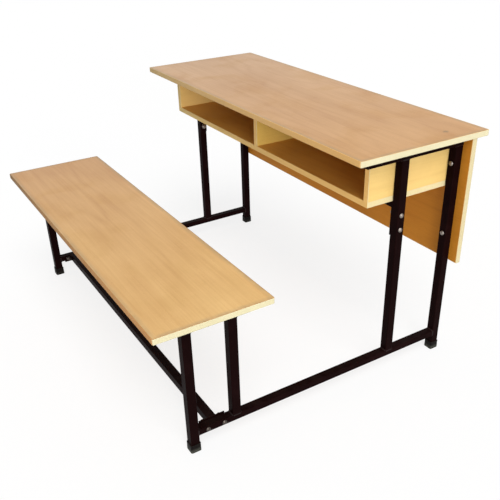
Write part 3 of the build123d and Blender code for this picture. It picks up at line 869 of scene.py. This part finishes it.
# %% [markdown]
# Plugs close the open ends of the rails. What shows is a flange with a soft pillow to its
# face. Behind it a hollow square stem with two barbed ribs grips the inside of the tube.
# Again one profile does it. The table of the stem gives half widths and heights in
# millimetres, from the bottom of the hollow, round the stem's end and over the ribs to the
# flange. The rest goes over the flange to the middle of the face.

# %% Rail plugs
stem_corner = 0.6 * mm
stem_steps = [(8.35, -0.2), (8.35, -13.6), (9.35, -14.0), (9.85, -13.5),
              (9.85, -11.8), (10.85, -10.3), (10.85, -9.8), (9.85, -9.7),
              (9.85, -6.2), (10.85, -4.7), (10.85, -4.2), (9.85, -4.1), (9.85, 0.0)]
flange_depth = 2.5 * mm
flange_corner = 2.0 * mm
flange_back_edge = 0.3 * mm
flange_edge = 1.0 * mm
pillow_rise = 0.35 * mm
pillow_shares = (0.7, 0.45, 0.15)


def plug_steps(half):
    """(half width, height, corner radius) of a plug's rings."""
    steps = [(reach * mm, height * mm, stem_corner) for reach, height in stem_steps]
    steps += [(half - flange_back_edge, 0.0, flange_corner),
              (half, flange_back_edge, flange_corner)]
    for share in rounding_shares:
        cosine, sine = around(share)
        height = flange_depth - flange_edge + flange_edge * sine
        steps.append((half - flange_edge * (1 - cosine), height, flange_corner))
    for share in pillow_shares:
        height = flange_depth + pillow_rise * (1 - share ** 2)
        steps.append((half * share, height, flange_corner * share))
    return steps


def out_of_its_rail(low, high):
    """Direction in which a plug looks: away from the middle of the rail nearest to it."""
    middle = (low + high) / 2
    rails = [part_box(rail + side) for rail in ("seat_rail", "desk_rail")
             for side in ("_left", "_right")]
    middles = [(first + last) / 2 for first, last in rails]
    nearest = min(middles, key=lambda point: (point - middle).length)
    return Vector((0, math.copysign(1, middle.y - nearest.y), 0))


plugs = bmesh.new()
for low, high in loose_boxes("rail_end_plugs"):
    outwards = out_of_its_rail(low, high)
    face = end_points((low, high), outwards)[0] - outwards * flange_depth
    place = place_at(face, outwards)
    half = (high.x - low.x) / 2
    skin(plugs, [square_ring(place, height, reach, corner)
                 for reach, height, corner in plug_steps(half)])
dress("rail_plugs", plugs, moulded_grey, "cap_plastic", "rail_end_plugs")

# %% [markdown]
# Bolts, nuts and washers. The bolts have low domed heads, so nothing catches a sleeve. The
# end of a bolt carries a true thread: at each height the radius rises and falls once round
# the rod, and the high place moves round as the height changes, which is a helix. A nut is
# a hexagon cut by a shallow cone at each end, which leaves the curved borders that every
# real nut has. A washer is stamped: each of its rims is rolled over on one side, where the
# punch entered, and sharp on the other.

# %% Fasteners in their places
bolt_sets = {"stretcher": None, "shelf_cross": None, "front_panel": (0, -1, 0)}


def fasteners(kind, new_kind, build):
    """For each set of bolts, a piece with one fastener of a kind in each place. A set's
    heads look the way that is given, or else away from the middle of the bench."""
    for name, way in bolt_sets.items():
        bm = bmesh.new()
        for box in loose_boxes(name + kind):
            build(bm, box, Vector(way or (math.copysign(1.0, box[0].x + box[1].x), 0, 0)))
        dress(name + new_kind, bm, zinc_plate, "bright_steel", name + kind)


print("sets of bolts:", list(bolt_sets))

# %% Bolts
bolt_sides = 32
rings_per_turn = 8
bolt_radius = 4.0 * mm
bolt_root = 3.35 * mm
bolt_tip = 3.05 * mm
bolt_pitch = 1.25 * mm
bolt_thread = 15 * mm
head_height = 5.0 * mm
head_rim = 1.2 * mm
head_edge = 0.3 * mm
dome_flat = 0.2 * mm
dome_shares = [n / 8 for n in range(1, 9)]


def thread_rings(place, start, end, crest, root, pitch, tip_radius, tip_slope, sides):
    """Rings of a threaded rod from one height down to another. The thread fades in over its
    first turn, and the tip narrows to its own radius."""
    count = round((start - end) / pitch * rings_per_turn)
    rings = []
    for n in range(count + 1):
        height = start - (start - end) * n / count
        depth = (crest - root) * min(1.0, n / rings_per_turn)
        cone = tip_radius + (height - end) * tip_slope

        def radius(turn):
            wave = abs(2 * ((height / pitch - turn) % 1) - 1)
            return min(crest - depth * wave, cone)

        rings.append(round_ring(place, height, radius, sides))
    return rings


def domed_bolt(bm, box, outwards):
    top, tip = end_points(box, outwards)
    place = place_at(top - outwards * head_height, outwards)
    length = (top - tip).length - head_height
    head = sorted(box[1] - box[0])[1] / 2
    rise = head_height - head_rim
    dome = (head ** 2 + rise ** 2) / (2 * rise)
    steps = [(bolt_radius, 0.0), (head - head_edge, 0.0), (head, head_edge), (head, head_rim)]
    for share in dome_shares:
        reach = head * (1 - share) + dome_flat * share
        steps.append((reach, head_height - dome + math.sqrt(dome ** 2 - reach ** 2)))
    rings = thread_rings(place, bolt_thread - length, -length, bolt_radius, bolt_root, bolt_pitch,
                         bolt_tip, 1.0, bolt_sides)[::-1]
    skin(bm, rings + [round_ring(place, height, reach, bolt_sides) for reach, height in steps])


fasteners("_bolts", "_domed_bolts", domed_bolt)

# %% Nuts
nut_sides = 72
nut_flat = 6.5 * mm
nut_face = 6.2 * mm
nut_bore = 4.05 * mm
bore_ease = 0.45 * mm
cone_slope = math.tan(math.radians(30))
dice = random.Random(11)


def hexagon(turn):
    """Radius of a hexagon for a share of a turn, from one corner."""
    return nut_flat / math.cos(math.radians(60) * ((turn * 6) % 1 - 0.5))


def hex_nut(bm, box, outwards):
    outer, inner = end_points(box, outwards)
    place = place_at(inner, outwards, dice.uniform(0, math.pi / 3))
    height = (outer - inner).length
    steps = [(0.0, nut_bore + bore_ease), (0.0, nut_face),
             (lambda turn: (hexagon(turn) - nut_face) * cone_slope, hexagon),
             (lambda turn: height - (hexagon(turn) - nut_face) * cone_slope, hexagon),
             (height, nut_face), (height, nut_bore + bore_ease), (height - bore_ease, nut_bore),
             (bore_ease, nut_bore)]
    skin(bm, [round_ring(place, level, reach, nut_sides) for level, reach in steps], closed=True)


fasteners("_nuts", "_hex_nuts", hex_nut)

# %% Washers
washer_sides = 48
washer_bore = 4.25 * mm
rolled_steps = [(0.45 * mm, 0.0), (0.15 * mm, 0.1 * mm), (0.0, 0.4 * mm)]
sharp_steps = [(0.0, 0.1 * mm), (0.1 * mm, 0.0)]


def flat_washer(bm, box, outwards):
    """Washer from (set back, height) steps: sharp and rolled at one face, then at the other."""
    outer, inner = end_points(box, outwards)
    place = place_at(inner, outwards)
    thick = (outer - inner).length
    rim = max(box[1] - box[0]) / 2
    steps = [(up, washer_bore + back) for back, up in sharp_steps]
    steps += [(up, rim - back) for back, up in rolled_steps]
    steps += [(thick - up, rim - back) for back, up in sharp_steps]
    steps += [(thick - up, washer_bore + back) for back, up in rolled_steps]
    skin(bm, [round_ring(place, level, reach, washer_sides) for level, reach in steps], closed=True)


fasteners("_washers", "_flat_washers", flat_washer)

# %% [markdown]
# Screws hold the boards to the frame and the shelf together. Where one passes through a
# tube it has a raised round head, and where it goes through a board its head is sunk flush.
# Both have a cross recess, which is not a shape of rings: it is cut with a boolean from one
# master of each kind, and the finished master is copied to every place, turned a little
# differently each time, as a driver leaves them.

# %% Masters of the screws
screw_sides = 24
screw_radius = 2.25 * mm
screw_core = 1.55 * mm
screw_tip = 0.2 * mm
screw_tip_slope = 0.5
screw_pitch = 2.0 * mm
screw_head = 4.5 * mm
screw_head_height = 2.6 * mm
pan_rim = 0.7 * mm
pan_shares = [n / 7 for n in range(1, 7)]
recess_depth = 1.7 * mm
recess_arm = 2.3 * mm
recess_width = 0.55 * mm
recess_taper = 0.45


def cross_outline(height, arm, width):
    """Ring of twelve points round a cross."""
    points, one_arm = [], ((arm, -width), (arm, width), (width, width))
    for n in range(4):
        turn = Matrix.Rotation(n * quarter, 4, "Z")
        points += [turn @ Vector((x, y, height)) for x, y in one_arm]
    return points


def screw_master(name, head_steps, length, thread_start):
    """Screw with its head's outer face towards Z, and a cross recess cut into it."""
    here = Matrix.Identity(4)
    rings = thread_rings(here, -thread_start, -length, screw_radius, screw_core, screw_pitch,
                         screw_tip, screw_tip_slope, screw_sides)[::-1]
    rings += [round_ring(here, height, reach, screw_sides) for reach, height in head_steps]
    whole, cutter = bmesh.new(), bmesh.new()
    skin(whole, rings)
    top = head_steps[-1][1]
    low = recess_arm * recess_taper, recess_width * recess_taper
    high = recess_arm * (2 - recess_taper), recess_width
    skin(cutter, [cross_outline(top - recess_depth, *low),
                  cross_outline(top + recess_depth, *high)])
    screw, cross = (add_object(name + part, to_mesh(name + part, bm, zinc_plate))
                    for part, bm in (("_whole", whole), ("_cutter", cutter)))
    cut = screw.modifiers.new("recess", "BOOLEAN")
    cut.object = cross
    cut.solver = "EXACT"
    cut_screw = screw.evaluated_get(bpy.context.evaluated_depsgraph_get())
    ready = bpy.data.meshes.new_from_object(cut_screw)
    for piece in (screw, cross):
        bpy.data.objects.remove(piece)
    print(name, "has", len(ready.polygons), "faces")
    return ready


# (radius, height) steps: height zero is the seat of a raised head, and a flush head's face.
pan_head = [(screw_radius, 0.0), (screw_head - 0.2 * mm, 0.0), (screw_head, 0.25 * mm),
            (screw_head, pan_rim)]
pan_head += [(screw_head * cosine, pan_rim + (screw_head_height - pan_rim) * sine)
             for cosine, sine in map(around, pan_shares)]
sunk_head = [(screw_radius, -screw_head_height), (screw_head - 0.1 * mm, -0.35 * mm),
             (screw_head, -0.2 * mm), (screw_head - 0.1 * mm, -0.05 * mm),
             (screw_head - 0.3 * mm, 0.0)]
print("a screw's recess is", round(recess_depth / mm, 1), "mm deep")

# %% Screws in their places
# A kind of screw: the steps of its head, the head's height over its place and its thread
raised = pan_head, screw_head_height, 15 * mm
sunk = sunk_head, 0.0, 24 * mm


def screws(name, node, kind=raised, way=(0, 0, -1)):
    """Piece with a cross-head screw in each place of a node's screws."""
    head_steps, rise, thread = kind
    outwards = Vector(way)
    boxes = loose_boxes(node)
    top, tip = end_points(boxes[0], outwards)
    length = (top - tip).length - rise
    master = screw_master(name + "_master", head_steps, length, length - thread)
    bm = bmesh.new()
    for box in boxes:
        seat = end_points(box, outwards)[0] - outwards * rise
        copy = master.copy()
        copy.transform(place_at(seat, outwards, dice.uniform(0, quarter)))
        bm.from_mesh(copy)
        bpy.data.meshes.remove(copy)
    bpy.data.meshes.remove(master)
    dress(name, bm, zinc_plate, "bright_steel", node)


screws("desk_cross_head_screws", "desk_board_screws")
screws("seat_cross_head_screws", "seat_board_screws")
screws("cross_tube_cross_head_screws", "shelf_cross_screws")
screws("shelf_sunk_screws", "shelf_screws", sunk)
screws("front_panel_sunk_screws", "front_panel_screws", sunk, (0, 1, 0))

# %% [markdown]
# Weld beads run round each joint of the square tubes: a fillet in each corner, and a flat
# bead over each seam where the sides are flush. A bead is laid puddle by puddle, and every
# puddle freezes with a curved front edge, so its surface is a row of crescents about two
# millimetres apart. Here each ring of the skin is one cross-section. The rings swell and
# shrink with the crescents, the crescents bend because the middle of a ring is ahead of its
# ends, slow waves make the bead as uneven as a hand does, and both ends close round. The
# back of every bead is sunk into the steel, as a weld is.

# %% Weld sections
weld_leg = 3.0 * mm
weld_hollow = 0.10
flush_crown = 0.95 * mm
flush_half = 2.3 * mm
section_shares = [n / 9 for n in range(10)]


def fillet_section(share):
    """Point of a corner bead's surface, from one face round to the other."""
    reach = weld_leg * (1 - weld_hollow * math.sin(share * math.pi))
    return Vector((0, *around(share))) * reach


def flush_section(share):
    """Point of a flat bead's surface, over a seam between two flush sides."""
    cosine, sine = around(share * 2 - 1)
    return Vector((0, flush_crown * cosine, flush_half * sine))


print("weld leg", weld_leg / mm, "mm, flat bead", round(2 * flush_half / mm, 1), "mm wide")

# %% One bead
ripple_pitch = 2.2 * mm
ripple_height = 0.17 * mm
ripple_middle = 0.6
ripple_bow = 1.0 * mm
stations_per_ripple = 7
end_round = 2.6 * mm
end_start = 0.12 * mm
wander_reach = 0.5 * mm
swell_share = 0.07
bead_sink = Vector((0, 0.3 * mm, 0.3 * mm))
face_sink_share = 0.4
wave_lengths = (4, 6), (9, 14)


def bead(bm, place, length, section):
    """Weld bead along a place's X, on the faces towards its Y and Z."""
    count = round(length / ripple_pitch * stations_per_ripple)
    waves = [(dice.uniform(*lengths) * mm, dice.uniform(0, 6)) for lengths in wave_lengths]
    rings = []
    for n in range(count + 1):
        along = length * n / count
        wander, swell = (math.sin(along / wave + start) for wave, start in waves)
        near_end = min(1.0, (min(along, length - along) + end_start) / end_round)
        grown = math.sqrt(1 - (1 - near_end) ** 2) * (1 + swell_share * swell)
        station = Vector((along - length / 2, 0, 0))
        ring = [place @ (station - bead_sink)]
        for share in section_shares:
            point = section(share) * grown
            bow = ripple_bow * (2 * share - 1) ** 2
            phase = (along + wander_reach * wander + bow) / ripple_pitch
            lift = (abs(math.sin(phase * math.pi)) - ripple_middle) * ripple_height * near_end
            point += point.normalized() * lift - bead_sink * face_sink_share
            ring.append(place @ (point + station))
        rings.append(ring)
    skin(bm, rings)


print("ripples", round(ripple_pitch / mm, 1), "mm apart")

# %% Beads of the side frames
tube_corner = 2 * mm
up, down, forwards, backwards = map(Vector, ((0, 0, 1), (0, 0, -1), (0, 1, 0), (0, -1, 0)))


def joint_beads(bm, middle, outwards, along, width, extent, corners=(-1, 1)):
    """Beads round a tube that stands on another. Extent is its own size along the other."""
    across = along.cross(outwards)
    for way in corners:
        place = place_facing(middle + along * way * extent / 2, across, along * way, outwards)
        bead(bm, place, width - tube_corner, fillet_section)
    for way in (-1, 1):
        seam = middle + across * way * width / 2 - outwards * tube_corner / 2
        place = place_facing(seam, along, across * way, outwards)
        bead(bm, place, extent - tube_corner, flush_section)


def middle_of(low, high, **fixed):
    """Middle of a box, with some of its coordinates given."""
    middle = (low + high) / 2
    for axis, value in fixed.items():
        setattr(middle, axis, value)
    return middle


def frame_beads(side):
    box = {name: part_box(name + "_" + side) for name in (
        "floor_rail", "bench_rear_leg", "bench_front_leg", "desk_inner_leg", "desk_outer_leg")}
    bm = bmesh.new()
    low, high = box["floor_rail"]
    width, rail_height = high.x - low.x, high.z - low.z
    joint_beads(bm, middle_of(low, high, y=low.y), forwards, up, width, rail_height)
    joint_beads(bm, middle_of(low, high, y=high.y), backwards, up, width, rail_height)
    for name in ("bench_front_leg", "desk_inner_leg"):
        low, high = box[name]
        joint_beads(bm, middle_of(low, high, z=low.z), up, forwards, width, width)
    for name in ("bench_rear_leg", "bench_front_leg", "desk_inner_leg", "desk_outer_leg"):
        low, high = box[name]
        corners = (-1,) if name == "desk_outer_leg" else (-1, 1)
        joint_beads(bm, middle_of(low, high, z=high.z), down, forwards, width, width, corners)
    dress("weld_beads_" + side, bm, weld_coat, "frame_paint", "frame_welds_" + side)


frame_beads("left")
frame_beads("right")

# %% Beads of the end plates


def plate_beads():
    bm = bmesh.new()
    for way, side in ((-1, "left"), (1, "right")):
        inwards = Vector((-way, 0, 0))
        face = min((c.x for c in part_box("stretcher_plate_" + side)), key=abs)
        low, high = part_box("stretcher_tube")
        for direction, edge in ((backwards, low.y), (forwards, high.y)):
            place = place_facing(middle_of(low, high, x=face, y=edge), up, direction, inwards)
            bead(bm, place, high.z - low.z - tube_corner, fillet_section)
        low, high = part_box("shelf_cross_tube")
        place = place_facing(middle_of(low, high, x=face, z=low.z), forwards, down, inwards)
        bead(bm, place, high.y - low.y - tube_corner, fillet_section)
    dress("weld_beads_end_plates", bm, weld_coat, "frame_paint", "plate_welds")


plate_beads()
